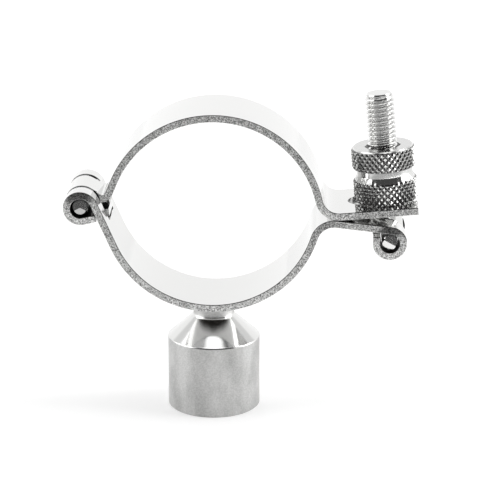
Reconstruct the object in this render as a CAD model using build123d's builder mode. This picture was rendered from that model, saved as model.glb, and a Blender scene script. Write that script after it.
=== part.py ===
from build123d import *
import os
from math import asin, atan2, cos, degrees, radians, sin, sqrt, tan

# Hinged pipe hanger: two folded strip bands that close round a tube, on a turned threaded boss.
# X runs across the ring from the hinge to the bolt, Y along the tube, Z up. The origin is the centre of
# the boss's bottom face.

# Strip and rings
sheet = 2.0
band_width = 23.0
ring_radius = 27.9
edge_round = 0.2

# The closed, empty hanger: the upper half ring stands lower than a full circle would put it
upper_ring_drop = 4.7
upper_ring_shift = 0.5

# Curls, all rolled over one mandrel, and the plain pins in them
curl_bore = 5.2
pin_diameter = 4.2
pin_recess = 0.5
pin_chamfer = 0.6

# Hinge on the left
hinge_stand_off = 2.85
hinge_drop = 0.95
knuckle_width = 11.3
knuckle_gap = 0.3
knuckle_tail = 3.4
knuckle_exit_angle = 283.0
strap_ease = 0.45
notch_corner = 0.6
strip_leave_angle = 157.5
strip_run = 4.3
tongue_run = 5.6
fold_radius = 0.6
eye_exit_angle = 266.0
eye_tail_radius = 19.0
eye_tail_turn = 30.0
eye_tail_inset = 0.4

# Bolt hinge and tabs on the right
tab_root = 3.8
tab_drop = 3.71
lower_tab_length = 14.77
lower_tab_slope = 6.5
finger_tail = 1.8
upper_tab_slope = 5.0
upper_tab_reach = 8.2
bend_radius = 4.5
slot_clearance = 0.5
slot_run_in = 2.0

# Swing bolt and nut
thread_diameter = 8.0
bolt_length = 39.0
bolt_chamfer = 0.8
eye_clearance = 0.1
nut_diameter = 17.4
nut_height = 15.0
nut_clearance = 0.05
nut_countersink = 9.8
nut_chamfer = 0.5
lower_knurl = 6.2
upper_knurl = 5.8
waist_diameter = 15.0
waist_flare = 0.7
waist_flare_height = 1.5

# Boss and weld
boss_diameter = 25.4
boss_height = 20.0
boss_edge = 0.3
cone_height = 6.4
neck_diameter = 11.0
neck_height = 4.0
tap_diameter = 8.5
tap_mouth = 9.5
tap_depth = 17.0
drill_point_angle = 118.0
weld_leg = 2.0
weld_reach = 1.4

# Radii of the strip's middle line, and the places that follow from the sizes above
ring_line = ring_radius + sheet / 2
curl_line = (curl_bore + sheet) / 2
fold_line = fold_radius + sheet / 2
bend_line = bend_radius + sheet / 2
band_bottom = boss_height + cone_height + neck_height
lower_centre = Vector(0, band_bottom + sheet + ring_radius)
upper_centre = lower_centre + Vector(upper_ring_shift, -upper_ring_drop)
hinge = lower_centre - Vector(ring_line + curl_line + hinge_stand_off, hinge_drop)
tab_meeting = lower_centre + Vector(ring_radius + sheet + tab_root, -tab_drop)
slot_width = thread_diameter + 2 * slot_clearance


def toward(angle, length=1.0):
    """A step of this length at this angle from +X in the XZ plane."""
    return Vector(length * cos(radians(angle)), length * sin(radians(angle)))


def bearing(step):
    return degrees(atan2(step.Y, step.X))


def crossing_heading(start, start_radius, end, end_radius):
    """Heading of the straight that leaves a clockwise bend and enters an anticlockwise one."""
    step = end - start
    return bearing(step) - degrees(asin((start_radius + end_radius) / step.length))


def bend_place(ring_centre, height, slope):
    """Centre of the bend between a ring and a tab, this far above the tabs' meeting point."""
    foot = tab_meeting + toward(slope + 90, height) - ring_centre
    along = foot.dot(toward(slope))
    reach = ring_line + bend_line
    return ring_centre + foot + toward(slope, sqrt(reach**2 - foot.length**2 + along**2) - along)


def in_space(point, y=0.0):
    return (point.X, y, point.Y)


# The fingers curl down from the lower tab, and the bolt leans with the upper tab, square to it
bolt_pivot = tab_meeting + toward(-lower_tab_slope, lower_tab_length)
bolt_pivot = bolt_pivot - toward(90 - lower_tab_slope, curl_line + sheet / 2)
bolt_up = Vector(*in_space(toward(90 + upper_tab_slope)))
bolt_across = Vector(*in_space(toward(upper_tab_slope)))
bolt_base = Plane(origin=in_space(bolt_pivot), x_dir=bolt_across, z_dir=bolt_up)
bolt_section = Plane(origin=in_space(bolt_pivot), x_dir=bolt_across, z_dir=(0, -1, 0))
bolt_axis = Axis(in_space(bolt_pivot), bolt_up)
nut_seat = (tab_meeting - bolt_pivot).dot(toward(90 + upper_tab_slope)) + sheet

# Lower band: knuckles, half ring, tab and bolt fingers, folded from one strip
strap_bend = hinge - Vector(0, strap_ease)
strap_heading = crossing_heading(lower_centre, ring_line, strap_bend, curl_line + strap_ease)
lower_bend = bend_place(lower_centre, -sheet / 2 - bend_line, -lower_tab_slope)
lower_bend_angle = bearing(lower_bend - lower_centre)
slot_start = bolt_pivot.X - thread_diameter / 2 - slot_run_in - slot_width / 2

with BuildPart() as lower_band:
    with BuildSketch(Plane.XZ):
        with BuildLine():
            opening = CenterArc(strap_bend, curl_line + strap_ease, strap_heading - 90, 180 - strap_heading)
            knuckle = CenterArc(hinge, curl_line, 90, knuckle_exit_angle - 90)
            PolarLine(knuckle @ 1, knuckle_tail, direction=knuckle % 1)
            ring = CenterArc(
                lower_centre, ring_line, strap_heading + 90, 270 + lower_bend_angle - strap_heading
            )
            Line(opening @ 0, ring @ 0)
            bend = CenterArc(
                lower_bend, bend_line, lower_bend_angle + 180, -90 - lower_tab_slope - lower_bend_angle
            )
            finger = CenterArc(bolt_pivot, curl_line, 90 - lower_tab_slope, lower_tab_slope - 270)
            Line(bend @ 1, finger @ 0)
            PolarLine(finger @ 1, finger_tail, direction=finger % 1)
        trace(line_width=sheet)
    extrude(amount=band_width / 2, both=True)
    fillet(lower_band.faces().filter_by(Axis.Y).edges(), edge_round)
    # Notch for the upper band's knuckle
    with BuildSketch(Plane.YZ.offset(hinge.X)) as notch:
        with Locations((0, hinge.Y - curl_line - sheet / 2 - knuckle_gap)):
            Rectangle(knuckle_width + 2 * knuckle_gap, ring_radius, align=(Align.CENTER, Align.MIN))
        fillet(notch.vertices(), notch_corner)
    extrude(amount=ring_radius / 2, both=True, mode=Mode.SUBTRACT)
    # Slot between the bolt fingers, open towards the outside
    with BuildSketch(Plane.XY.offset(bolt_pivot.Y)):
        with Locations((slot_start + slot_width / 2, 0)):
            Circle(slot_width / 2)
            Rectangle(ring_radius, slot_width, align=(Align.MIN, Align.CENTER))
    extrude(amount=ring_radius / 2, both=True, mode=Mode.SUBTRACT)
lower_band.part.label = "lower_band"

# Upper band: half ring and tab, with a narrower tongue rolled into the middle knuckle
upper_bend = bend_place(upper_centre, sheet / 2 + bend_line, upper_tab_slope)
upper_bend_angle = bearing(upper_bend - upper_centre)
strip_leave = upper_centre + toward(strip_leave_angle, ring_line)
strip_end = strip_leave + toward(strip_leave_angle + 90, strip_run)
fold_start = strip_leave + toward(strip_leave_angle + 90, tongue_run)
fold_centre = fold_start + toward(strip_leave_angle, fold_line)
tongue_heading = crossing_heading(fold_centre, fold_line, hinge, curl_line)
tab_end = bolt_pivot + toward(90 + upper_tab_slope, nut_seat - sheet / 2)
tab_end = tab_end + toward(upper_tab_slope, upper_tab_reach)

with BuildPart() as upper_band:
    with BuildSketch(Plane.XZ):
        with BuildLine():
            ring = CenterArc(
                upper_centre, ring_line, upper_bend_angle, strip_leave_angle - upper_bend_angle
            )
            Line(ring @ 1, strip_end)
            bend = CenterArc(
                upper_bend, bend_line, upper_bend_angle + 180, 90 + upper_tab_slope - upper_bend_angle
            )
            Line(bend @ 1, tab_end)
        trace(line_width=sheet)
    extrude(amount=band_width / 2, both=True)
    fillet(upper_band.faces().filter_by(Axis.Y).edges(), edge_round)
    with BuildSketch(Plane.XZ):
        with BuildLine():
            eye = CenterArc(
                hinge, curl_line, tongue_heading - 90, eye_exit_angle - tongue_heading + 90
            )
            JernArc(eye @ 1, eye % 1, eye_tail_radius, eye_tail_turn)
        trace(line_width=sheet)
        # The eye's free end stops just short of the tube seat
        with Locations(lower_centre):
            Circle(ring_radius + eye_tail_inset, mode=Mode.SUBTRACT)
        with BuildLine():
            Line(strip_leave, fold_start)
            fold = CenterArc(
                fold_centre, fold_line, strip_leave_angle + 180, tongue_heading - 90 - strip_leave_angle
            )
            Line(fold @ 1, eye @ 0)
        trace(line_width=sheet)
    extrude(amount=knuckle_width / 2, both=True)
    with BuildSketch(bolt_base):
        with Locations((slot_start + slot_width / 2 - bolt_pivot.X, 0)):
            Circle(slot_width / 2)
            Rectangle(ring_radius, slot_width, align=(Align.MIN, Align.CENTER))
    extrude(amount=ring_radius / 2, mode=Mode.SUBTRACT)
upper_band.part.label = "upper_band"


def plain_pin(centre):
    """A pin along Y with chamfered ends, set a little back from both edges of the strip."""
    with BuildPart() as pin:
        with BuildSketch(Plane.XZ):
            with Locations(centre):
                Circle(pin_diameter / 2)
        extrude(amount=band_width / 2 - pin_recess, both=True)
        chamfer(pin.faces().filter_by(Axis.Y).edges(), pin_chamfer)
    return pin.part


hinge_pin = plain_pin(hinge)
hinge_pin.label = "hinge_pin"
bolt_pin = plain_pin(bolt_pivot)
bolt_pin.label = "bolt_pin"

# Swing bolt: a stud with a round, cross-drilled foot on the bolt pin
with BuildPart() as swing_bolt:
    with BuildSketch(bolt_base):
        Circle(thread_diameter / 2)
    extrude(amount=bolt_length)
    chamfer(swing_bolt.faces().sort_by(bolt_axis)[-1].edges(), bolt_chamfer)
    with Locations(bolt_base):
        Sphere(thread_diameter / 2)
    with BuildSketch(bolt_section):
        Circle(pin_diameter / 2 + eye_clearance)
    extrude(amount=thread_diameter, both=True, mode=Mode.SUBTRACT)
swing_bolt.part.label = "swing_bolt"

# Knurled nut: one turned piece, two gripping bands with a waist between them
bore = thread_diameter / 2 + nut_clearance
mouth = nut_countersink / 2
rim = nut_diameter / 2
waist = waist_diameter / 2
nut_top = nut_seat + nut_height
waist_foot = nut_seat + lower_knurl
waist_top = nut_top - upper_knurl

with BuildPart() as knurled_nut:
    with BuildSketch(bolt_section):
        with BuildLine():
            lower_run = Polyline(
                (waist + waist_flare, waist_foot),
                (rim, waist_foot - (rim - waist - waist_flare)),
                (rim, nut_seat + nut_chamfer),
                (rim - nut_chamfer, nut_seat),
                (mouth, nut_seat),
                (bore, nut_seat + mouth - bore),
                (bore, nut_top - mouth + bore),
                (mouth, nut_top),
                (rim - nut_chamfer, nut_top),
                (rim, nut_top - nut_chamfer),
                (rim, waist_top + nut_chamfer),
                (rim - nut_chamfer, waist_top),
                (waist, waist_top),
                (waist, waist_foot + waist_flare_height),
            )
            TangentArc(lower_run @ 1, lower_run @ 0, tangent=(0, -1))
        make_face()
    revolve(axis=bolt_axis)
knurled_nut.part.label = "knurled_nut"

# Threaded boss: cylinder, cone and neck turned in one, with a blind tapped hole from below
with BuildPart() as threaded_boss:
    with BuildSketch(Plane.XZ):
        with BuildLine():
            Polyline(
                (0, tap_depth + tap_diameter / 2 / tan(radians(drill_point_angle / 2))),
                (tap_diameter / 2, tap_depth),
                (tap_diameter / 2, (tap_mouth - tap_diameter) / 2),
                (tap_mouth / 2, 0),
                (boss_diameter / 2 - boss_edge, 0),
                (boss_diameter / 2, boss_edge),
                (boss_diameter / 2, boss_height),
                (neck_diameter / 2, boss_height + cone_height),
                (neck_diameter / 2, band_bottom + sheet),
                (0, band_bottom + sheet),
                close=True,
            )
        make_face()
    revolve(axis=Axis.Z)
    with BuildSketch(Plane.XZ):
        with Locations(lower_centre):
            Circle(ring_radius + sheet)
    extrude(amount=band_width, both=True, mode=Mode.SUBTRACT)
threaded_boss.part.label = "threaded_boss"

# Weld between the neck and the outside of the lower band
with BuildPart() as weld_bead:
    with BuildSketch(Plane.XZ):
        with BuildLine():
            Polyline(
                (neck_diameter / 2 + weld_reach, band_bottom + sheet / 2),
                (neck_diameter / 2, band_bottom + sheet / 2),
                (neck_diameter / 2, band_bottom - weld_leg),
                (neck_diameter / 2 + weld_reach, band_bottom),
                close=True,
            )
        make_face()
    revolve(axis=Axis.Z)
    with BuildSketch(Plane.XZ):
        with Locations(lower_centre):
            Circle(ring_radius + sheet)
    extrude(amount=band_width, both=True, mode=Mode.SUBTRACT)
weld_bead.part.label = "weld_bead"

os.makedirs("parts", exist_ok=True)
export_step(lower_band.part, "parts/lower_band.step")
export_step(upper_band.part, "parts/upper_band.step")
export_step(hinge_pin, "parts/hinge_pin.step")
export_step(bolt_pin, "parts/bolt_pin.step")
export_step(swing_bolt.part, "parts/swing_bolt.step")
export_step(knurled_nut.part, "parts/knurled_nut.step")
export_step(threaded_boss.part, "parts/threaded_boss.step")
export_step(weld_bead.part, "parts/weld_bead.step")
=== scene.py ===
import math
import random

import bmesh
import bpy
from mathutils import Matrix, Vector


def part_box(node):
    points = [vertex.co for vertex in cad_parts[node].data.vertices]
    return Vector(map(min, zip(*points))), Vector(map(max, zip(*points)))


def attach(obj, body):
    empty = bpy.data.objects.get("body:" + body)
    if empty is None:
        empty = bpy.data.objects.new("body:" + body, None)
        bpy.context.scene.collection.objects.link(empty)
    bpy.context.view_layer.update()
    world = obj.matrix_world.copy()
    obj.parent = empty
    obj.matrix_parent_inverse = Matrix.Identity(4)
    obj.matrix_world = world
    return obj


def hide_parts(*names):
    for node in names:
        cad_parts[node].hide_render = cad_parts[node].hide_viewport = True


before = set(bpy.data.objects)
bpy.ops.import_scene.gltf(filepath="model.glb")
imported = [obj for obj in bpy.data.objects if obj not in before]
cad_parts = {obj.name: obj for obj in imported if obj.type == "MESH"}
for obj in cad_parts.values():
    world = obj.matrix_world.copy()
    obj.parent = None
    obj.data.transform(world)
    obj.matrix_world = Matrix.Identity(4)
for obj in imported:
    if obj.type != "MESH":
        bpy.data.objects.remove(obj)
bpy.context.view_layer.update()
mm = 0.001


# Camera, placed from the ring and the boss in the photograph

cameraSet = {
    "lens": 168.6, "sensor": 36.0,             # a long lens, millimetres
    "place": (0.02548, -0.58655, 0.23376),     # metres
    "tiltDown": 17.62, "turnLeft": 1.78,       # degrees
    "clip": (0.01, 50.0),
}


def addCamera(s):
    data = bpy.data.cameras.new("camera")
    data.lens = s["lens"]
    data.sensor_width = s["sensor"]
    data.clip_start, data.clip_end = s["clip"]
    camera = bpy.data.objects.new("camera", data)
    camera.location = s["place"]
    camera.rotation_euler = (math.radians(90 - s["tiltDown"]), 0, math.radians(s["turnLeft"]))
    bpy.context.collection.objects.link(camera)
    bpy.context.scene.camera = camera


addCamera(cameraSet)
print("stage 1: frame and camera")


# Node helpers

def linear(hexColour):
    # From an sRGB hex value, by the sRGB curve's own constants
    channels = []
    for i in (0, 2, 4):
        c = int(hexColour[i:i + 2], 16) / 255
        channels.append(c / 12.92 if c <= 0.04045 else ((c + 0.055) / 1.055) ** 2.4)
    return (*channels, 1.0)


def setInputs(tree, node, inputs):
    # An input goes by its name, or by its place where a node's inputs share one name.
    # It takes a value, a socket, or a node, which stands for the node's first output in use.
    for key, value in inputs.items():
        if isinstance(key, str):
            end = next(each for each in node.inputs if each.enabled and each.name == key)
        else:
            end = node.inputs[key]
        if isinstance(value, bpy.types.Node):
            value = next(each for each in value.outputs if each.enabled)
        if isinstance(value, bpy.types.NodeSocket):
            tree.links.new(value, end)
        else:
            end.default_value = value


def addNode(tree, kind, settings, inputs):
    node = tree.nodes.new("ShaderNode" + kind)
    for key, value in settings.items():
        setattr(node, key, value)
    setInputs(tree, node, inputs)
    return node


def newMaterial(name):
    material = bpy.data.materials.new(name)
    material.use_nodes = True
    tree = material.node_tree
    return material, tree, tree.nodes["Principled BSDF"]


# Settings that many nodes share
multiply = {"operation": "MULTIPLY"}
lessThan = {"operation": "LESS_THAN"}
absolute = {"operation": "ABSOLUTE"}
smooth = {"interpolation_type": "SMOOTHSTEP"}
colours = {"data_type": "RGBA"}


# Places that looks and pieces share: the lower half ring's outer face, and the middles of the two pins

lowerRing = {"radius": 29.9, "centreHeight": 60.3}


def middleOf(node):
    return sum(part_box(node), Vector()) / 2


hingeCentre = middleOf("hinge_pin")
pivotCentre = middleOf("bolt_pin")


# Stainless strip, polished on its rolled faces and left as blanked on its cut edges. The faces give clear
# reflections that bend a little in long waves. The edges give a grey grainy line, darker where a bend tips
# it upward. Sizes are in millimetres.

stripLook = {
    "face": "CFCFCE", "faceRoughness": 0.1,
    "wave": 16.0, "waveDetail": 1.0, "waveStrength": 0.012, "waveHeight": 1.0,
    "edgeLight": "E2E2E1", "edgeDark": "525251", "edgeRoughness": 0.3,
    "edgeStart": 0.93, "edgeFull": 0.99,       # how squarely a cut edge looks along the tube
    "grain": 0.27, "grainDetail": 2.0, "grainRoughness": 0.6, "grainStrength": 0.4, "grainHeight": 0.06,
    "grainDark": 0.36, "grainLight": 0.64,     # noise values that give the darkest and the lightest grain
    "bendBlend": 0.6,                          # how softly a bend's tipped edge ends, each way
    # The bore colour is painted shade inside the curls and in the gaps between knuckles
    "bore": "1E1E1E", "boreRoughness": 0.5, "boreReach": 3.5, "gapFrom": 10.8, "gapReach": 5.0,
    "facesPin": -0.5, "facesDown": -0.5,       # a face that looks this squarely at the pin, or down, counts
    # The corner colour is painted shade on the hinge knuckles' corners next to the gaps
    "corner": "303030", "cornerFrom": 5.8, "cornerWidth": 1.0, "cornerSolid": 0.55, "cornerLean": 0.9,
    # The rim colour is a painted dark reflection on the upward rounded corners
    "rim": "2A2A29", "rimOffEdge": (0.985, 0.93), "rimOffFace": (0.12, 0.3), "rimUpward": (0.02, 0.15),
    "stain": "2C2A28", "stainReach": 11.5, "stainSolid": 0.7,
}

# Bends of the strip: centre, how far out they reach, and how far the cut edge tips outward there
stripBends = {
    "lowerRing": {"centre": (0.0, lowerRing["centreHeight"]), "reach": 34.0, "tip": 0.03},
    "hingeCurl": {"centre": (hingeCentre.x / mm, hingeCentre.z / mm), "reach": 4.9, "tip": 0.4,
                  "curl": True},
    "boltCurl": {"centre": (pivotCentre.x / mm, pivotCentre.z / mm), "reach": 4.9, "tip": 0.4,
                 "curl": True},
    "lowerBend": {"centre": (33.5, 50.3), "reach": 6.8, "tip": 0.2},
    "upperBend": {"centre": (33.6, 63.0), "reach": 6.8, "tip": 0.12},
}


def curlHollowShade(tree, s, facing, way, far, inner):
    # 1 on the inside of a curl, where the face looks back at the pin: painted dark there as shade
    inward = addNode(tree, "VectorMath", {"operation": "DOT_PRODUCT"}, {0: facing, 1: way})
    hollow = addNode(tree, "Math", lessThan, {0: inward, 1: s["facesPin"]})
    near = addNode(tree, "Math", lessThan, {0: far, 1: s["boreReach"] * mm})
    bore = addNode(tree, "Math", multiply, {0: hollow, 1: near})
    # and between two knuckles, where one cut side faces the next: painted dark there as shade too
    beside = addNode(tree, "Math", lessThan, {0: far, 1: s["gapReach"] * mm})
    between = addNode(tree, "Math", multiply, {0: beside, 1: inner})
    return addNode(tree, "Math", {"operation": "MAXIMUM"}, {0: bore, 1: between})


def knuckleCornerShade(tree, s, flat, along, offMiddle):
    # The hinge knuckles' sheared corners roll over towards the gap between them, and are painted dark there
    # as shade
    aside = addNode(tree, "Math", {"operation": "SUBTRACT"}, {0: offMiddle, 1: s["cornerFrom"] * mm})
    beside = addNode(tree, "Math", absolute, {0: aside})
    rolled = addNode(tree, "MapRange", {}, {"Value": beside, "From Min": s["cornerWidth"] * mm,
                                            "From Max": s["cornerSolid"] * s["cornerWidth"] * mm})
    fromHinge = addNode(tree, "VectorMath", {"operation": "DISTANCE"},
                        {0: flat, 1: (hingeCentre.x, 0, hingeCentre.z)})
    onHinge = addNode(tree, "Math", lessThan, {0: fromHinge, 1: s["gapReach"] * mm})
    corner = addNode(tree, "Math", multiply, {0: rolled, 1: onHinge})
    side = addNode(tree, "Math", multiply, {0: aside, 1: along})
    toGap = addNode(tree, "Math", {"operation": "SIGN"}, {0: side})
    lean = addNode(tree, "Math", multiply, {0: toGap, 1: -s["cornerLean"]})
    lean = addNode(tree, "Math", multiply, {0: lean, 1: corner})
    return corner, addNode(tree, "CombineXYZ", {}, {"Y": lean})


def rimReflection(tree, s, sideways, up):
    # The rounded corner between a face and its cut edge gets a thin dark line where it faces up: a painted
    # reflection of the tent's dark gap
    line = 1.0
    for value, limits in ((sideways, s["rimOffEdge"]), (sideways, s["rimOffFace"]), (up, s["rimUpward"])):
        part = addNode(tree, "MapRange", {}, {"Value": value, "From Min": limits[0], "From Max": limits[1]})
        line = addNode(tree, "Math", multiply, {0: line, 1: part})
    return line


def weldStain(tree, s, place, up):
    # The weld's heat leaves a dull brown-grey ring on the underside
    weldHeight = lowerRing["centreHeight"] - lowerRing["radius"]
    fromWeld = addNode(tree, "VectorMath", {"operation": "DISTANCE"}, {0: place, 1: (0, 0, weldHeight * mm)})
    stain = addNode(tree, "MapRange", smooth, {"Value": fromWeld, "From Min": s["stainReach"] * mm,
                                               "From Max": s["stainSolid"] * s["stainReach"] * mm})
    under = addNode(tree, "Math", lessThan, {0: up, 1: s["facesDown"]})
    return addNode(tree, "Math", multiply, {0: stain, 1: under})


def tipEdges(tree, s, bends, tipped, facing, flat, edge, inner):
    # Bends tip the cut edge towards their outer side, and each curl among them gives a mask of painted shade
    hollowShades = []
    for bend in bends.values():
        x, z = bend["centre"]
        out = addNode(tree, "VectorMath", {"operation": "SUBTRACT"}, {0: flat, 1: (x * mm, 0, z * mm)})
        far = addNode(tree, "VectorMath", {"operation": "LENGTH"}, {0: out})
        near = addNode(tree, "MapRange", smooth, {"Value": far, "To Max": bend["tip"],
                                                  "From Min": (bend["reach"] + s["bendBlend"]) * mm,
                                                  "From Max": (bend["reach"] - s["bendBlend"]) * mm})
        amount = addNode(tree, "Math", multiply, {0: near, 1: edge})
        way = addNode(tree, "VectorMath", {"operation": "NORMALIZE"}, {0: out})
        if bend.get("curl"):
            hollowShades.append(curlHollowShade(tree, s, facing, way, far, inner))
        push = addNode(tree, "VectorMath", {"operation": "SCALE"}, {0: way, "Scale": amount})
        tipped = addNode(tree, "VectorMath", {"operation": "ADD"}, {0: tipped, 1: push})
    return tipped, hollowShades


def polishedStainless(s, bends):
    material, tree, shader = newMaterial("polishedStainless")
    where = addNode(tree, "TexCoord", {}, {}).outputs
    place, facing = where["Object"], where["Normal"]
    flat = addNode(tree, "VectorMath", multiply, {0: place, 1: (1, 0, 1)})
    along = addNode(tree, "SeparateXYZ", {}, {"Vector": place}).outputs["Y"]
    aim = addNode(tree, "SeparateXYZ", {}, {"Vector": facing}).outputs
    sideways = addNode(tree, "Math", absolute, {0: aim["Y"]})
    edge = addNode(tree, "MapRange", smooth,
                   {"Value": sideways, "From Min": s["edgeStart"], "From Max": s["edgeFull"]})
    offMiddle = addNode(tree, "Math", absolute, {0: along})
    inside = addNode(tree, "Math", lessThan, {0: offMiddle, 1: s["gapFrom"] * mm})
    inner = addNode(tree, "Math", multiply, {0: inside, 1: edge})
    # Painted shade on the knuckle corners by the gaps, and their rolled-over normals
    corner, cornerTip = knuckleCornerShade(tree, s, flat, along, offMiddle)
    # A thin painted dark reflection along the upward rounded corners
    rim = rimReflection(tree, s, sideways, aim["Z"])
    stain = weldStain(tree, s, place, aim["Z"])
    tipped = addNode(tree, "VectorMath", {"operation": "ADD"}, {0: facing, 1: cornerTip})
    tipped, hollowShades = tipEdges(tree, s, bends, tipped, facing, flat, edge, inner)
    turned = addNode(tree, "VectorTransform",
                     {"vector_type": "NORMAL", "convert_from": "OBJECT", "convert_to": "WORLD"},
                     {"Vector": tipped})
    # Long waves all over, and torn grain on the cut edges
    wave = addNode(tree, "TexNoise", {}, {"Vector": place, "Scale": 1 / (s["wave"] * mm),
                                          "Detail": s["waveDetail"]}).outputs["Fac"]
    grain = addNode(tree, "TexNoise", {}, {"Vector": place, "Scale": 1 / (s["grain"] * mm),
                                           "Detail": s["grainDetail"],
                                           "Roughness": s["grainRoughness"]}).outputs["Fac"]
    roll = addNode(tree, "Bump", {}, {"Height": wave, "Strength": s["waveStrength"],
                                      "Distance": s["waveHeight"] * mm, "Normal": turned})
    depth = addNode(tree, "Math", multiply, {0: edge, 1: s["grainStrength"]})
    tear = addNode(tree, "Bump", {}, {"Height": grain, "Strength": depth,
                                      "Distance": s["grainHeight"] * mm, "Normal": roll})
    spread = addNode(tree, "MapRange", {},
                     {"Value": grain, "From Min": s["grainDark"], "From Max": s["grainLight"]})
    cut = addNode(tree, "Mix", colours,
                  {"Factor": spread, "A": linear(s["edgeDark"]), "B": linear(s["edgeLight"])})
    colour = addNode(tree, "Mix", colours, {"Factor": edge, "A": linear(s["face"]), "B": cut})
    haze = addNode(tree, "MapRange", {},
                   {"Value": edge, "To Min": s["faceRoughness"], "To Max": s["edgeRoughness"]})
    # Painted shade: the inside of each curl and the gaps between knuckles are painted dark and duller
    for hollow in hollowShades:
        haze = addNode(tree, "Mix", {}, {"Factor": hollow, "A": haze, "B": s["boreRoughness"]})
    shades = [(hollow, s["bore"]) for hollow in hollowShades]
    for mask, shade in shades + [(rim, s["rim"]), (corner, s["corner"]), (stain, s["stain"])]:
        colour = addNode(tree, "Mix", colours, {"Factor": mask, "A": colour, "B": linear(shade)})
    setInputs(tree, shader, {"Metallic": 1.0, "Base Color": colour, "Roughness": haze, "Normal": tear})
    return material


# Plain stainless: one recipe, with its own colour, gloss and grain for each way of making. The turned nut
# and the rolled thread are bright and sharp. The pins' cropped ends are bright, and their shanks, seen only
# through the gaps, are painted dark as shade. The weld is grey and rough. The bottoms of the grooves and the
# nut's bore are painted dark as shade, and flat turned ends greyer, as painted shade for their turning
# marks.

steelLooks = {
    # The groove colours are painted shade in the grooves and the bore, and the end colours painted shade on
    # flat turned ends
    "turnedStainless": {"colour": "CECECD", "roughness": 0.17, "grain": 0.5, "strength": 0.04,
                        "grooveShade": "545453", "grooveFrom": 8.26, "grooveTo": 8.62, "end": "BCBCBB",
                        "bore": 4.75},
    "rolledStainless": {"colour": "DADAD9", "roughness": 0.1, "grain": 0.5, "strength": 0.04,
                        "grooveShade": "C0C0BF", "grooveFrom": 3.3, "grooveTo": 3.7, "end": "C8C8C7"},
    "croppedStainless": {"colour": "E4E4E3", "roughness": 0.16, "grain": 0.5, "strength": 0.1},
    # The pins' shanks are painted dark as shade: they show only in the gaps between knuckles
    "shankShadeStainless": {"colour": "3C3C3B", "roughness": 0.35, "grain": 0.4, "strength": 0.1},
    "weldedStainless": {"colour": "A09E9B", "roughness": 0.3, "grain": 0.6, "strength": 0.8},
}

# What they share: the grain's depth, how gloss varies with it, and what counts as a groove or an end
steelGrain = {
    "detail": 2.0, "height": 0.05, "glossier": 0.8, "duller": 1.2,
    "underGroove": 0.05, "endStart": 0.96, "endFull": 0.99,
}


def shadedGrooveColour(tree, s, shared, place):
    # Painted shade: dark in the bottom of the grooves, light on their crests, and greyer on a flat turned
    # end, standing in for its turning marks' dimmer reflection
    across = addNode(tree, "VectorMath", multiply, {0: place, 1: (1, 1, 0)})
    radius = addNode(tree, "VectorMath", {"operation": "LENGTH"}, {0: across})
    crest = addNode(tree, "MapRange", {}, {"Value": radius, "From Min": s["grooveFrom"] * mm,
                                           "From Max": s["grooveTo"] * mm})
    inside = addNode(tree, "Math", lessThan, {0: radius, 1: (s["grooveFrom"] - shared["underGroove"]) * mm})
    crest = addNode(tree, "Math", {"operation": "MAXIMUM"}, {0: crest, 1: inside})
    facing = addNode(tree, "TexCoord", {}, {}).outputs["Normal"]
    aim = addNode(tree, "SeparateXYZ", {}, {"Vector": facing}).outputs
    level = addNode(tree, "MapRange", {},
                    {"Value": aim["Z"], "From Min": shared["endStart"], "From Max": shared["endFull"]})
    colour = addNode(tree, "Mix", colours,
                     {"Factor": crest, "A": linear(s["grooveShade"]), "B": linear(s["colour"])})
    colour = addNode(tree, "Mix", colours, {"Factor": level, "A": colour, "B": linear(s["end"])})
    # The nut's bore is painted dark as shade
    if "bore" in s:
        bore = addNode(tree, "Math", lessThan, {0: radius, 1: s["bore"] * mm})
        colour = addNode(tree, "Mix", colours, {"Factor": bore, "A": colour, "B": linear(s["grooveShade"])})
    return colour


def plainStainless(name, s, shared):
    material, tree, shader = newMaterial(name)
    place = addNode(tree, "TexCoord", {}, {}).outputs["Object"]
    grain = addNode(tree, "TexNoise", {}, {"Vector": place, "Scale": 1 / (s["grain"] * mm),
                                           "Detail": shared["detail"]}).outputs["Fac"]
    haze = addNode(tree, "MapRange", {}, {"Value": grain, "To Min": s["roughness"] * shared["glossier"],
                                          "To Max": s["roughness"] * shared["duller"]})
    bump = addNode(tree, "Bump", {}, {"Height": grain, "Strength": s["strength"],
                                      "Distance": shared["height"] * mm})
    colour = shadedGrooveColour(tree, s, shared, place) if "grooveShade" in s else linear(s["colour"])
    setInputs(tree, shader, {"Metallic": 1.0, "Base Color": colour, "Roughness": haze, "Normal": bump})
    return material


# Satin stainless for the boss: the cylinder has soft upright smears and fine specks. The cone is brighter,
# as turned, with tool rings. Real tool rings are too fine to show, so these are drawn wider apart.

bossLook = {
    "satin": "CACAC9", "satinDark": "A0A09F", "satinRoughness": 0.42, "glossier": 0.8, "duller": 1.25,
    "smear": 5.5, "smearUpright": 0.45, "smearDetail": 4.0, "smearStrength": 0.06, "smearHeight": 0.3,
    "smearDark": 0.36, "smearLight": 0.64,
    "speckle": 0.4, "speckleDetail": 1.0, "speckleDark": 0.35, "speckleLight": 0.65, "speckleShare": 0.35,
    "bright": "D2D2D1", "brightRoughness": 0.13, "coneStart": 0.25, "coneFull": 0.5,
    "ring": 2.2, "ringWaver": 1.0, "ringDetail": 1.0, "ringStrength": 0.05, "ringHeight": 0.03,
}
waveLength = 2 * math.pi / 20                  # between a wave texture's bands, where its scale is 1


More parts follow.
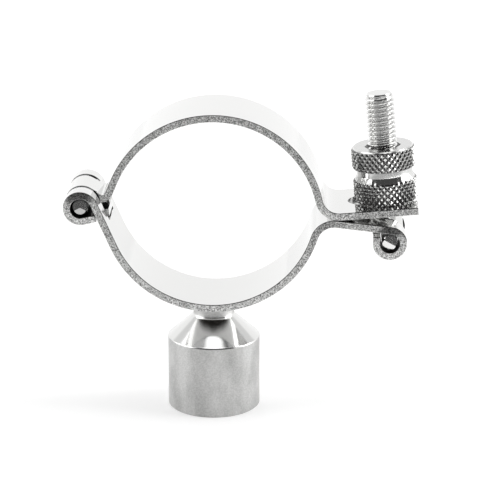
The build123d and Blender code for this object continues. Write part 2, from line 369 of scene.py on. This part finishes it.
def satinStainless(s):
    material, tree, shader = newMaterial("satinStainless")
    where = addNode(tree, "TexCoord", {}, {}).outputs
    place = where["Object"]
    aim = addNode(tree, "SeparateXYZ", {}, {"Vector": where["Normal"]}).outputs
    cone = addNode(tree, "MapRange", smooth,
                   {"Value": aim["Z"], "From Min": s["coneStart"], "From Max": s["coneFull"]})
    upright = addNode(tree, "Mapping", {}, {"Vector": place, "Scale": (1, 1, s["smearUpright"])})
    smear = addNode(tree, "TexNoise", {}, {"Vector": upright, "Scale": 1 / (s["smear"] * mm),
                                           "Detail": s["smearDetail"]}).outputs["Fac"]
    speckle = addNode(tree, "TexNoise", {}, {"Vector": place, "Scale": 1 / (s["speckle"] * mm),
                                             "Detail": s["speckleDetail"]}).outputs["Fac"]
    rings = addNode(tree, "TexWave", {"bands_direction": "Z"},
                    {"Vector": place, "Scale": waveLength / (s["ring"] * mm),
                     "Distortion": s["ringWaver"], "Detail": s["ringDetail"]}).outputs["Fac"]
    # The smears and a finer speckle make the satin's light and dark
    cloud = addNode(tree, "MapRange", {},
                    {"Value": smear, "From Min": s["smearDark"], "From Max": s["smearLight"]})
    specks = addNode(tree, "MapRange", {},
                     {"Value": speckle, "From Min": s["speckleDark"], "From Max": s["speckleLight"]})
    cloud = addNode(tree, "Mix", {}, {"Factor": s["speckleShare"], "A": cloud, "B": specks})
    side = addNode(tree, "Mix", colours,
                   {"Factor": cloud, "A": linear(s["satinDark"]), "B": linear(s["satin"])})
    tint = addNode(tree, "Mix", colours, {"Factor": cone, "A": side, "B": linear(s["bright"])})
    satin = addNode(tree, "MapRange", {}, {"Value": smear, "To Min": s["satinRoughness"] * s["glossier"],
                                           "To Max": s["satinRoughness"] * s["duller"]})
    haze = addNode(tree, "Mix", {}, {"Factor": cone, "A": satin, "B": s["brightRoughness"]})
    bump = addNode(tree, "Bump", {}, {"Height": rings, "Strength": s["ringStrength"],
                                      "Distance": s["ringHeight"] * mm})
    patch = addNode(tree, "Bump", {}, {"Height": smear, "Strength": s["smearStrength"],
                                       "Distance": s["smearHeight"] * mm, "Normal": bump})
    setInputs(tree, shader, {"Metallic": 1.0, "Base Color": tint, "Roughness": haze, "Normal": patch})
    return material


strip = polishedStainless(stripLook, stripBends)
steel = {name: plainStainless(name, look, steelGrain) for name, look in steelLooks.items()}
bossSteel = satinStainless(bossLook)
for node in ("lower_band", "upper_band"):
    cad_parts[node].material_slots[0].material = strip
print("stage 2: materials")


# Turned pieces: rows of points round the Z axis, in millimetres

meshSet = {
    "merge": 0.001,
    "turnedCorner": 38.0,                      # degrees: a sharper corner isn't smoothed over
}


def heights(low, high, step):
    count = max(1, math.ceil((high - low) / step))
    return [low + (high - low) * i / count for i in range(count + 1)]


def closedPiece(name, points, faces, material):
    # One smooth closed mesh, its doubled points merged and its faces turned outward
    mesh = bpy.data.meshes.new(name)
    mesh.from_pydata(points, [], faces)
    shell = bmesh.new()
    shell.from_mesh(mesh)
    bmesh.ops.remove_doubles(shell, verts=shell.verts, dist=meshSet["merge"] * mm)
    bmesh.ops.recalc_face_normals(shell, faces=shell.faces)
    shell.to_mesh(mesh)
    shell.free()
    mesh.materials.append(material)
    mesh.shade_smooth()
    piece = bpy.data.objects.new(name, mesh)
    bpy.context.collection.objects.link(piece)
    return piece


def lathe(name, rows, steps, closed, material):
    # Each row is a radius, a height and a rule for the radius at an angle, or no rule
    points = []
    for radius, height, rule in rows:
        for k in range(steps):
            angle = 2 * math.pi * k / steps
            r = rule(radius, height, angle) if rule else radius
            points.append((r * math.cos(angle) * mm, r * math.sin(angle) * mm, height * mm))
    faces = []
    for j in range(len(rows) if closed else len(rows) - 1):
        here, above = j * steps, (j + 1) % len(rows) * steps
        for k in range(steps):
            ahead = (k + 1) % steps
            faces.append((here + k, here + ahead, above + ahead, above + k))
    if not closed:
        faces.append(tuple(range(steps)))
        faces.append(tuple(range((len(rows) - 1) * steps, len(rows) * steps)))
    piece = closedPiece(name, points, faces, material)
    piece.data.set_sharp_from_angle(angle=math.radians(meshSet["turnedCorner"]))
    return piece


# Metric thread: the flats on its crests and in its roots, as shares of the pitch
threadForm = {"crestFlat": 1 / 8, "rootFlat": 1 / 4}


def threadDepth(height, angle, pitch):
    # 0 on the crest and 1 in the root
    turn = (height / pitch - angle / (2 * math.pi)) % 1
    crest = threadForm["crestFlat"] / 2
    root = (1 - threadForm["rootFlat"]) / 2
    return min(1, max(0, (abs(turn - 0.5) - crest) / (root - crest)))


boltLean = 5.0
boltPlace = Matrix.Translation(pivotCentre) @ Matrix.Rotation(math.radians(-boltLean), 4, "Y")


# Swing bolt: rolled M8 thread down to a round foot, cross-drilled for its pin

boltSize = {
    "radius": 4.0, "length": 39.0, "chamfer": 0.85, "chamferHeight": 1.5, "endCentre": 0.4,
    "pitch": 1.25, "threadDepth": 0.74, "rounding": 0.55, "threadFrom": 5.5,
    "footStart": -89.0, "footStep": 4.5,       # degrees up the round foot from its lowest point, at -90
    "hole": 2.2, "holeLength": 16.0, "holeSides": 64, "steps": 80, "rowsPerPitch": 18,
}


def boltThread(radius, height, angle):
    s = boltSize
    runOut = min(1, max(0, (height - s["threadFrom"]) / s["pitch"]))
    cut = threadDepth(height, angle, s["pitch"])
    rolled = cut * cut * (3 - 2 * cut)         # rolling rounds the crests and the roots
    depth = (cut + s["rounding"] * (rolled - cut)) * s["threadDepth"]
    return min(radius, s["radius"] - depth * runOut)


def drillFoot(bolt, s):
    bpy.ops.mesh.primitive_cylinder_add(vertices=s["holeSides"], radius=s["hole"] * mm,
                                        depth=s["holeLength"] * mm, rotation=(math.pi / 2, 0, 0))
    drill = bpy.context.object
    hole = bolt.modifiers.new("hole", "BOOLEAN")
    hole.operation = "DIFFERENCE"
    hole.solver = "EXACT"
    hole.object = drill
    bpy.context.view_layer.objects.active = bolt
    bpy.ops.object.modifier_apply(modifier="hole")
    bpy.data.objects.remove(drill)


def addSwingBolt(s):
    rows = []
    for angle in heights(s["footStart"], 0.0, s["footStep"]):
        a = math.radians(angle)
        rows.append((s["radius"] * math.cos(a), s["radius"] * math.sin(a), None))
    rows.append((s["radius"], s["threadFrom"], None))
    step = s["pitch"] / s["rowsPerPitch"]
    for height in heights(s["threadFrom"] + step, s["length"], step):
        top = s["radius"] - s["chamfer"] * max(0, 1 - (s["length"] - height) / s["chamferHeight"])
        rows.append((top, height, boltThread))
    rows.append((s["endCentre"], s["length"], None))
    bolt = lathe("swingBolt", rows, s["steps"], False, steel["rolledStainless"])
    drillFoot(bolt, s)
    bolt.matrix_world = boltPlace
    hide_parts("swing_bolt")
    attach(bolt, "bolt")


addSwingBolt(boltSize)


# Pins: drawn wire with cropped ends. The shears leave slanted facets that tip the light up or down

pinSize = {
    "radius": 2.1, "halfLength": 11.0, "chamfer": 0.4, "steps": 64,
    "corner": 12.0,                            # degrees, so that the facets meet in a crisp line
    "upright": 0.1,                            # the most that a face of the shank looks to an end
}
pinCuts = {
    "hinge_pin": {"piece": "hingePin", "facets": (
        {"slope": (-0.13, 0.25, 0.96), "back": -0.04},
        {"slope": (0.13, 0.25, 0.96), "back": -0.04},
    )},
    "bolt_pin": {"piece": "boltPin", "facets": (
        {"slope": (0.14, 0.25, 0.96), "back": 0.02},
        {"slope": (-0.12, -0.24, 0.96), "back": 0.02},
    )},
}


def addPin(s, node, cut):
    half, inner = s["halfLength"], s["radius"] - s["chamfer"]
    rows = [(inner, -half, None), (s["radius"], s["chamfer"] - half, None),
            (s["radius"], half - s["chamfer"], None), (inner, half, None)]
    pin = lathe(cut["piece"], rows, s["steps"], False, steel["croppedStainless"])
    # The shank's faces take the dark material painted as shade
    pin.data.materials.append(steel["shankShadeStainless"])
    shell = bmesh.new()
    shell.from_mesh(pin.data)
    for facet in cut["facets"]:
        x, y, z = facet["slope"]
        for end in (1, -1):
            bmesh.ops.bisect_plane(shell, geom=shell.verts[:] + shell.edges[:] + shell.faces[:],
                                   plane_co=(0, 0, (half - facet["back"]) * end * mm),
                                   plane_no=(x, y, z * end), clear_outer=True)
            bmesh.ops.holes_fill(shell, edges=[e for e in shell.edges if e.is_boundary])
    for face in shell.faces:
        inShank = abs(face.calc_center_median().z) < (half - s["chamfer"]) * mm
        face.material_index = 1 if inShank and abs(face.normal.z) < s["upright"] else 0
    shell.to_mesh(pin.data)
    shell.free()
    pin.data.set_sharp_from_angle(angle=math.radians(s["corner"]))
    pin.matrix_world = Matrix.Translation(middleOf(node)) @ Matrix.Rotation(math.pi / 2, 4, "X")
    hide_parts(node)
    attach(pin, "clamp_base")


for node, cut in pinCuts.items():
    addPin(pinSize, node, cut)


# Knurled nut: two bands of diamond knurl, a waist that flares at its foot, countersunk threaded bore

nutSize = {
    "seat": 9.45, "height": 15.0, "rim": 8.7, "bore": 4.06, "mouth": 4.9, "mouthSlope": 0.6,
    "chamfer": 0.4, "topChamfer": 0.8, "lowerKnurl": 6.2, "upperKnurl": 5.8,
    "waist": 7.5, "flare": 0.6, "flareHeight": 1.3, "flareEase": 0.12, "flareTail": 0.08, "fillet": 0.1,
    "diamonds": 35, "diamondHeight": 1.84, "knurlDepth": 0.45, "crestFlat": 0.06,
    "pitch": 1.25, "threadDepth": 0.5, "endGap": 0.02, "threadEndGap": 0.05,
    "steps": 420, "rowsPerDiamond": 12, "rowsPerPitch": 8,
}


def knurl(radius, height, angle):
    # Two families of ridges cross, and the lower of the two gives the height of a diamond
    s = nutSize
    around = angle / (2 * math.pi) * s["diamonds"]
    rising = 1 - abs(2 * ((around + height / s["diamondHeight"]) % 1) - 1)
    falling = 1 - abs(2 * ((around - height / s["diamondHeight"]) % 1) - 1)
    crest = min(1, min(rising, falling) / (1 - s["crestFlat"]))
    return min(radius, s["rim"] - s["knurlDepth"] * (1 - crest))


def nutThread(radius, height, angle):
    s = nutSize
    cut = 1 - threadDepth(height, angle, s["pitch"])
    return max(radius, s["bore"] + s["threadDepth"] * cut)


def addNut(s):
    rim, top, waist, gap = s["rim"], s["height"], s["waist"], s["endGap"]
    step = s["diamondHeight"] / s["rowsPerDiamond"]
    # Lower knurl, with a chamfer at its foot and a shoulder down to the flare
    shoulder = s["lowerKnurl"] - (rim - waist - s["flare"])
    rows = [(s["mouth"], 0, None), (rim - s["chamfer"], 0, None)]
    rows += [(rim - max(0, s["chamfer"] - h), h, knurl) for h in heights(gap, shoulder, step)]
    rows.append((waist + s["flare"], s["lowerKnurl"], None))
    # Waist
    flareTop, under = s["lowerKnurl"] + s["flareHeight"], top - s["upperKnurl"]
    rows.append((waist + s["flareTail"] * s["flare"], flareTop - s["flareEase"], None))
    rows.append((waist, flareTop + s["flareEase"], None))
    rows.append((waist, under - s["fillet"], None))
    rows.append((waist + s["fillet"], under, None))
    # Upper knurl
    rows.append((rim - s["chamfer"], under, None))
    for h in heights(under + gap, top - gap, step):
        rows.append((rim - max(0, s["chamfer"] - (h - under), s["topChamfer"] - (top - h)), h, knurl))
    rows += [(rim - s["topChamfer"], top, None), (s["mouth"], top, None)]
    # Threaded bore, downward, countersunk at both ends
    for h in reversed(heights(s["threadEndGap"], top - s["threadEndGap"], s["pitch"] / s["rowsPerPitch"])):
        rows.append((max(s["bore"], s["mouth"] - s["mouthSlope"] * min(top - h, h)), h, nutThread))
    nut = lathe("knurledNut", rows, s["steps"], True, steel["turnedStainless"])
    nut.matrix_world = boltPlace @ Matrix.Translation((0, 0, s["seat"] * mm))
    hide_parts("knurled_nut")
    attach(nut, "nut")


addNut(nutSize)


# Boss: cylinder, cone and neck in one, hollowed and tapped from below

bossSize = {
    "radius": 12.7, "height": 20.0, "edge": 0.3, "shoulder": 0.12, "cone": 6.4, "neck": 5.5, "bevel": 1.0,
    "bore": 4.25, "mouth": 4.75, "boreDepth": 17.0, "drillAngle": 59.0, "drillCentre": 0.1,
    "pitch": 1.5, "threadDepth": 0.6, "threadEndGap": 0.02, "rowsPerPitch": 14, "steps": 192,
    "sideRow": 1.0, "coneFrom": 0.4, "coneStep": 0.5,
    "neckRow": 2.0, "capRow": 4.0, "capShares": (1.0, 0.75, 0.5, 0.25, 0.05), "bandGap": 0.01,
}


def underBand(x):
    # Height of the lower ring's outer face over a point that lies x to the side
    return lowerRing["centreHeight"] - math.sqrt(lowerRing["radius"] ** 2 - x ** 2)


def socketThread(radius, height, angle):
    s = bossSize
    cut = 1 - threadDepth(height, angle, s["pitch"])
    return max(radius, s["bore"] + s["threadDepth"] * cut * min(1, (s["boreDepth"] - height) / s["pitch"]))


def addBoss(s):
    radius, height, neck, shoulder = s["radius"], s["height"], s["neck"], s["shoulder"]
    # Tapped hole, from the drill's point down
    drillTip = s["boreDepth"] + s["bore"] / math.tan(math.radians(s["drillAngle"]))
    rows = [(s["drillCentre"], drillTip, None)]
    for h in reversed(heights(s["threadEndGap"], s["boreDepth"], s["pitch"] / s["rowsPerPitch"])):
        rows.append((max(s["bore"], s["mouth"] - h), h, socketThread))
    # Base, side and shoulder
    rows += [(s["mouth"], 0, None), (radius - s["edge"], 0, None), (radius, s["edge"], None)]
    for h in (s["sideRow"], height - s["sideRow"], height - 2 * shoulder, height - shoulder):
        rows.append((radius, h, None))
    rows.append((radius - shoulder, height + shoulder, None))
    rows.append((radius - 2 * shoulder, height + 2 * shoulder * s["cone"] / (radius - neck), None))
    # The cone runs up to the neck and meets it in a small bevel
    coneTop = height + s["cone"]
    slope = math.atan2(radius - neck, s["cone"])
    tangent = s["bevel"] * math.tan(slope / 2)
    for h in heights(height + s["coneFrom"], coneTop - tangent, s["coneStep"]):
        rows.append((radius - math.tan(slope) * (h - height), h, None))
    for turn in (slope, 0):
        out, down = s["bevel"] * (1 - math.cos(turn)), s["bevel"] * math.sin(turn)
        rows.append((neck + out, coneTop + tangent - down, None))
    # The neck's end is a flat disc at first, then it takes the band's curve
    rows.append((neck, coneTop + s["neckRow"], None))
    rows += [(neck * share, coneTop + s["capRow"], None) for share in s["capShares"]]
    boss = lathe("threadedBoss", rows, s["steps"], False, bossSteel)
    for corner in boss.data.vertices:
        if corner.co.z > (coneTop + (s["neckRow"] + s["capRow"]) / 2) * mm:
            corner.co.z = (underBand(corner.co.x / mm) - s["bandGap"]) * mm
    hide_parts("threaded_boss")
    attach(boss, "clamp_base")


addBoss(bossSize)


# Weld bead: a rough fillet of overlapping drops between the neck and the band

weldSize = {
    "inner": 5.45, "reach": 1.3, "leg": 1.9, "hollow": 1.6, "bandGap": 0.02, "across": 12, "steps": 264,
    "drops": 22, "dropSizes": (0.5, 1.0), "lump": 0.16, "lumpLevel": 0.6, "seed": 4,
}


def addWeld(s):
    random.seed(s["seed"])
    sizes = [random.uniform(*s["dropSizes"]) for _ in range(s["drops"])]
    points, faces = [], []
    for k in range(s["steps"]):
        angle = 2 * math.pi * k / s["steps"]
        share = k / s["steps"] * s["drops"]
        drop = sizes[int(share)] * abs(math.sin(math.pi * share))
        for j in range(s["across"]):
            # From the neck's side, round the hollow face, to the band's underside
            t = j / (s["across"] - 1)
            out = s["reach"] * t ** s["hollow"]
            up = -s["leg"] * (1 - t) ** s["hollow"]
            swell = s["lump"] * (drop - s["lumpLevel"]) * math.sin(math.pi * t)
            radius = s["inner"] + out + swell
            x, y = radius * math.cos(angle), radius * math.sin(angle)
            points.append((x * mm, y * mm, (underBand(x) - s["bandGap"] + up - swell) * mm))
        # and back inside, to where the neck meets the band
        x, y = s["inner"] * math.cos(angle), s["inner"] * math.sin(angle)
        points.append((x * mm, y * mm, (underBand(x) - s["bandGap"]) * mm))
    size = s["across"] + 1
    for k in range(s["steps"]):
        here, ahead = k * size, (k + 1) % s["steps"] * size
        for j in range(size):
            up = (j + 1) % size
            faces.append((here + j, ahead + j, ahead + up, here + up))
    bead = closedPiece("weldBead", points, faces, steel["weldedStainless"])
    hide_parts("weld_bead")
    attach(bead, "clamp_base")


addWeld(weldSize)
print("stage 3: turned pieces and weld")


# Studio: a pale matt floor, which glows a little as painted light to soften its shadows and is painted
# darker towards the front as shade, and a light tent with a dark gap where the camera stands.
# Angles are in degrees: up from the horizon, and round from the front, where the camera is.

studioSet = {
    "floor": "C0C0C0", "floorFrontShade": "8E8E8E",
    "frontStart": -0.11, "frontFull": -0.2,    # metres along the floor, towards the camera
    "floorGlow": 0.93, "floorSize": 4.0, "floorRoughness": 0.9,
    "back": 1.27, "backAloft": 0.95, "backTop": 27.0,
    "ceiling": 1.9, "ceilingStart": 71.0, "cornice": 0.6, "corniceStart": 57.0,
    "leftSide": 2.4, "rightSide": 5.2, "sideHalfWidth": 112.0, "sideFoot": -30.0,
    "gap": 0.08, "gapCentre": 8.0, "gapHalfWidth": 66.0, "gapBottom": 1.0,
    "blur": 5.0, "overhead": 95.0,             # past straight up, so that nothing fades there
}


def addFloor(s):
    bpy.ops.mesh.primitive_plane_add(size=s["floorSize"])
    floor = bpy.context.object
    floor.name = "floor"
    material, tree, shader = newMaterial("glowingMattFloor")
    place = addNode(tree, "TexCoord", {}, {}).outputs["Object"]
    along = addNode(tree, "SeparateXYZ", {}, {"Vector": place}).outputs["Y"]
    # Painted shade towards the front, and a glow over the whole floor as painted light
    front = addNode(tree, "MapRange", smooth,
                    {"Value": along, "From Min": s["frontStart"], "From Max": s["frontFull"]})
    tint = addNode(tree, "Mix", colours,
                   {"Factor": front, "A": linear(s["floor"]), "B": linear(s["floorFrontShade"])})
    setInputs(tree, shader, {"Base Color": tint, "Emission Color": tint,
                             "Emission Strength": s["floorGlow"], "Roughness": s["floorRoughness"]})
    floor.data.materials.append(material)


def fade(tree, angle, low, high, blur):
    # 1 between the two angles, 0 outside them
    low, high, half = math.radians(low), math.radians(high), math.radians(blur) / 2
    rise = addNode(tree, "MapRange", smooth,
                   {"Value": angle, "From Min": low - half, "From Max": low + half})
    fall = addNode(tree, "MapRange", smooth,
                   {"Value": angle, "From Min": high + half, "From Max": high - half})
    return addNode(tree, "Math", multiply, {0: rise, 1: fall})


def addTent(s):
    world = bpy.data.worlds.new("tent")
    bpy.context.scene.world = world
    world.use_nodes = True
    tree = world.node_tree
    sky = addNode(tree, "TexCoord", {}, {}).outputs["Generated"]
    way = addNode(tree, "SeparateXYZ", {}, {"Vector": sky}).outputs
    toFront = addNode(tree, "Math", multiply, {0: way["Y"], 1: -1.0})
    azimuth = addNode(tree, "Math", {"operation": "ARCTAN2"}, {0: way["X"], 1: toFront})
    elevation = addNode(tree, "Math", {"operation": "ARCSINE"}, {0: way["Z"]})
    side, blur = s["sideHalfWidth"], s["blur"]
    wall = fade(tree, elevation, s["sideFoot"], s["corniceStart"], blur)
    left = addNode(tree, "Math", multiply, {0: fade(tree, azimuth, -side, 0, blur), 1: wall})
    right = addNode(tree, "Math", multiply, {0: fade(tree, azimuth, 0, side, blur), 1: wall})
    around = fade(tree, azimuth, -side, side, blur)
    slant = fade(tree, elevation, s["corniceStart"], s["ceilingStart"], blur)
    cornice = addNode(tree, "Math", multiply, {0: around, 1: slant})
    centre, half = s["gapCentre"], s["gapHalfWidth"]
    wide = fade(tree, azimuth, centre - half, centre + half, blur)
    tall = fade(tree, elevation, s["gapBottom"], s["ceilingStart"], blur)
    gap = addNode(tree, "Math", multiply, {0: wide, 1: tall})
    aloft = fade(tree, elevation, s["backTop"], s["overhead"], blur)
    ceiling = fade(tree, elevation, s["ceilingStart"], s["overhead"], blur)
    # Each part of the tent covers those before it
    glow = s["back"]
    for mask, light in ((aloft, s["backAloft"]), (ceiling, s["ceiling"]), (left, s["leftSide"]),
                        (right, s["rightSide"]), (cornice, s["cornice"]), (gap, s["gap"])):
        glow = addNode(tree, "Mix", {}, {"Factor": mask, "A": glow, "B": light})
    setInputs(tree, tree.nodes["Background"], {"Color": (1, 1, 1, 1), "Strength": glow})


addFloor(studioSet)
addTent(studioSet)
bpy.context.scene.view_settings.view_transform = "Standard"
print("stage 4: studio")
